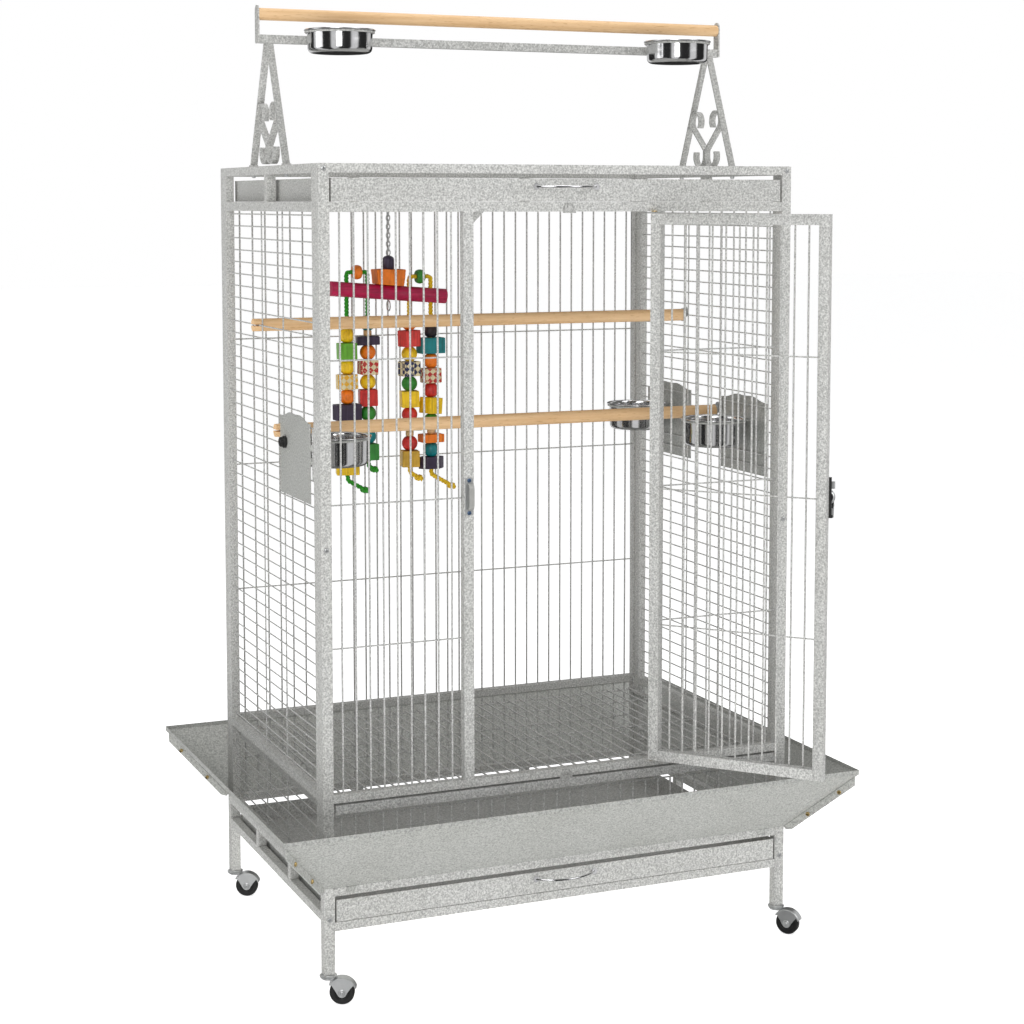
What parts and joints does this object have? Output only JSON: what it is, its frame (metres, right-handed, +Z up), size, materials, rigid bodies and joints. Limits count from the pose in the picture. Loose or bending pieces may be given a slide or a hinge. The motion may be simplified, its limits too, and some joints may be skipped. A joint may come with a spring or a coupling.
{
  "type": "bird cage on stand",
  "caption": "Tall rectangular bird cage on a wheeled stand, with a hinged front door, swing-out feeders, pull-out trays, seed skirts and a play perch on top.",
  "frame": {"origin": "floor level, under the centre of the standing object's bounding box with its door open as drawn", "axes": "+X to the right seen from the front, +Y to the rear, +Z up"},
  "size_m": [1.1164, 0.9966, 1.743],
  "materials": {
    "powder_coat": "light grey speckled powder coat",
    "zinc": "zinc plated",
    "brass": "yellow zinc plated",
    "chrome": "polished",
    "steel": "polished stainless steel",
    "lock_zinc": "dark grey plated",
    "black_plastic": "satin",
    "caster_tyre": "satin black",
    "dowel_wood": "bare sanded",
    "toy_wood": "stained in several colours",
    "rope": "twisted"
  },
  "bodies": {
    "cage": {"door_keeper": "powder_coat", "front_bars": "powder_coat", "front_frame": "powder_coat", "play_crossbar": "powder_coat", "play_frame_left": "powder_coat", "play_frame_right": "powder_coat", "play_rings": "powder_coat", "rear_bars": "powder_coat", "rear_frame": "powder_coat", "roof_grille": "powder_coat", "side_frame_left": "powder_coat", "side_frame_right": "powder_coat", "side_wires_left": "powder_coat", "side_wires_right": "powder_coat", "skirt_front": "powder_coat", "skirt_left": "powder_coat", "skirt_rear": "powder_coat", "skirt_right": "powder_coat", "stand_frame": "powder_coat", "frame_screws": "zinc", "brass_screws": "brass", "perch_fixings": "zinc", "caster_plates": "zinc", "play_perch": "dowel_wood", "perch_upper": "dowel_wood", "perch_lower": "dowel_wood"},
    "door": {"door_leaf": "powder_coat", "door_lock": "lock_zinc"},
    "door_latch": {"door_lever": "black_plastic"},
    "top_drawer": {"top_tray": "powder_coat", "top_handle": "chrome"},
    "bottom_drawer": {"bottom_tray": "powder_coat", "bottom_handle": "chrome"},
    "floor_grate": {"grate": "powder_coat"},
    "header_tab": {"tab_header": "powder_coat"},
    "sill_tab": {"tab_sill": "powder_coat"},
    "hanging_toy": {"toy_chain": "zinc", "toy_head": "toy_wood", "toy_bar": "toy_wood", "toy_beads": "toy_wood", "toy_ropes": "rope"},
    "bowl_top_left": {"play_bowl_left": "steel"},
    "bowl_top_right": {"play_bowl_right": "steel"},
    "feeder_left": {"feeder_door_left": "powder_coat"},
    "knob_left": {"feeder_knob_left": "black_plastic"},
    "bowl_left": {"feeder_bowl_left": "steel"},
    "feeder_right_front": {"feeder_door_right_front": "powder_coat"},
    "knob_right_front": {"feeder_knob_right_front": "black_plastic"},
    "bowl_right_front": {"feeder_bowl_right_front": "steel"},
    "feeder_right_rear": {"feeder_door_right_rear": "powder_coat"},
    "knob_right_rear": {"feeder_knob_right_rear": "black_plastic"},
    "bowl_right_rear": {"feeder_bowl_right_rear": "steel"},
    "caster_front_left": {"caster_fork_front_left": "zinc"},
    "wheel_front_left": {"caster_wheel_front_left": "caster_tyre"},
    "caster_front_right": {"caster_fork_front_right": "zinc"},
    "wheel_front_right": {"caster_wheel_front_right": "caster_tyre"},
    "caster_rear_left": {"caster_fork_rear_left": "zinc"},
    "wheel_rear_left": {"caster_wheel_rear_left": "caster_tyre"},
    "caster_rear_right": {"caster_fork_rear_right": "zinc"},
    "wheel_rear_right": {"caster_wheel_rear_right": "caster_tyre"}
  },
  "joints": [
    {"name": "door_hinge", "type": "hinge", "parent": "cage", "child": "door", "pos_m": [0.1715, -0.23387, 0.874], "axis": [0, 0, 1], "range_deg": [-131, 44]},
    {"name": "latch_turn", "type": "hinge", "parent": "door", "child": "door_latch", "pos_m": [0.38193, -0.48357, 0.876], "axis": [0.7547, 0.6561, 0], "range_deg": [0, 90]},
    {"name": "top_drawer_slide", "type": "slide", "parent": "cage", "child": "top_drawer", "axis": [0, -1, 0], "range_m": [0, 0.56]},
    {"name": "bottom_drawer_slide", "type": "slide", "parent": "cage", "child": "bottom_drawer", "axis": [0, -1, 0], "range_m": [0, 0.56]},
    {"name": "grate_slide", "type": "slide", "parent": "cage", "child": "floor_grate", "axis": [0, -1, 0], "range_m": [0, 0.56]},
    {"name": "header_tab_turn", "type": "hinge", "parent": "cage", "child": "header_tab", "pos_m": [0.0056, -0.22887, 1.3815], "axis": [0, -1, 0], "range_deg": [-180, 70]},
    {"name": "sill_tab_turn", "type": "hinge", "parent": "cage", "child": "sill_tab", "pos_m": [0.0016, -0.22887, 0.3635], "axis": [0, -1, 0], "range_deg": [-180, 180]},
    {"name": "toy_swing", "type": "hinge", "parent": "cage", "child": "hanging_toy", "pos_m": [-0.16627, 0.24113, 1.378], "axis": [0, 1, 0], "range_deg": [-12, 12]},
    {"name": "feeder_left_hinge", "type": "hinge", "parent": "cage", "child": "feeder_left", "pos_m": [-0.449, -0.16287, 0.955], "axis": [0, 0, 1], "range_deg": [0, 100]},
    {"name": "knob_left_turn", "type": "hinge", "parent": "feeder_left", "child": "knob_left", "pos_m": [-0.452, -0.01387, 0.962], "axis": [-1, 0, 0], "range_deg": [0, 90]},
    {"name": "bowl_left_lift", "type": "slide", "parent": "feeder_left", "child": "bowl_left", "axis": [0, 0, 1], "range_m": [0, 0.02]},
    {"name": "feeder_right_front_hinge", "type": "hinge", "parent": "cage", "child": "feeder_right_front", "pos_m": [0.449, -0.16287, 0.955], "axis": [0, 0, -1], "range_deg": [0, 100]},
    {"name": "knob_right_front_turn", "type": "hinge", "parent": "feeder_right_front", "child": "knob_right_front", "pos_m": [0.452, -0.01387, 0.962], "axis": [1, 0, 0], "range_deg": [0, 90]},
    {"name": "bowl_right_front_lift", "type": "slide", "parent": "feeder_right_front", "child": "bowl_right_front", "axis": [0, 0, 1], "range_m": [0, 0.02]},
    {"name": "feeder_right_rear_hinge", "type": "hinge", "parent": "cage", "child": "feeder_right_rear", "pos_m": [0.449, 0.33113, 0.955], "axis": [0, 0, 1], "range_deg": [0, 100]},
    {"name": "knob_right_rear_turn", "type": "hinge", "parent": "feeder_right_rear", "child": "knob_right_rear", "pos_m": [0.452, 0.18213, 0.962], "axis": [1, 0, 0], "range_deg": [0, 90]},
    {"name": "bowl_right_rear_lift", "type": "slide", "parent": "feeder_right_rear", "child": "bowl_right_rear", "axis": [0, 0, 1], "range_m": [0, 0.02]},
    {"name": "bowl_top_left_lift", "type": "slide", "parent": "cage", "child": "bowl_top_left", "axis": [0, 0, 1], "range_m": [0, 0.02]},
    {"name": "bowl_top_right_lift", "type": "slide", "parent": "cage", "child": "bowl_top_right", "axis": [0, 0, 1], "range_m": [0, 0.02]},
    {"name": "caster_front_left_swivel", "type": "hinge", "parent": "cage", "child": "caster_front_left", "pos_m": [-0.4475, -0.21937, 0.05], "axis": [0, 0, 1], "continuous": true},
    {"name": "wheel_front_left_spin", "type": "hinge", "parent": "caster_front_left", "child": "wheel_front_left", "pos_m": [-0.42541, -0.22875, 0.022], "axis": [0.3907, 0.9205, 0], "continuous": true},
    {"name": "caster_front_right_swivel", "type": "hinge", "parent": "cage", "child": "caster_front_right", "pos_m": [0.4475, -0.21937, 0.05], "axis": [0, 0, 1], "continuous": true},
    {"name": "wheel_front_right_spin", "type": "hinge", "parent": "caster_front_right", "child": "wheel_front_right", "pos_m": [0.46293, -0.23776, 0.022], "axis": [0.766, 0.6428, 0], "continuous": true},
    {"name": "caster_rear_left_swivel", "type": "hinge", "parent": "cage", "child": "caster_rear_left", "pos_m": [-0.4475, 0.38763, 0.05], "axis": [0, 0, 1], "continuous": true},
    {"name": "wheel_rear_left_spin", "type": "hinge", "parent": "caster_rear_left", "child": "wheel_rear_left", "pos_m": [-0.42575, 0.37749, 0.022], "axis": [0.4226, 0.9063, 0], "continuous": true},
    {"name": "caster_rear_right_swivel", "type": "hinge", "parent": "cage", "child": "caster_rear_right", "pos_m": [0.4475, 0.38763, 0.05], "axis": [0, 0, 1], "continuous": true},
    {"name": "wheel_rear_right_spin", "type": "hinge", "parent": "caster_rear_right", "child": "wheel_rear_right", "pos_m": [0.46716, 0.37386, 0.022], "axis": [0.5736, 0.8192, 0], "continuous": true}
  ]
}
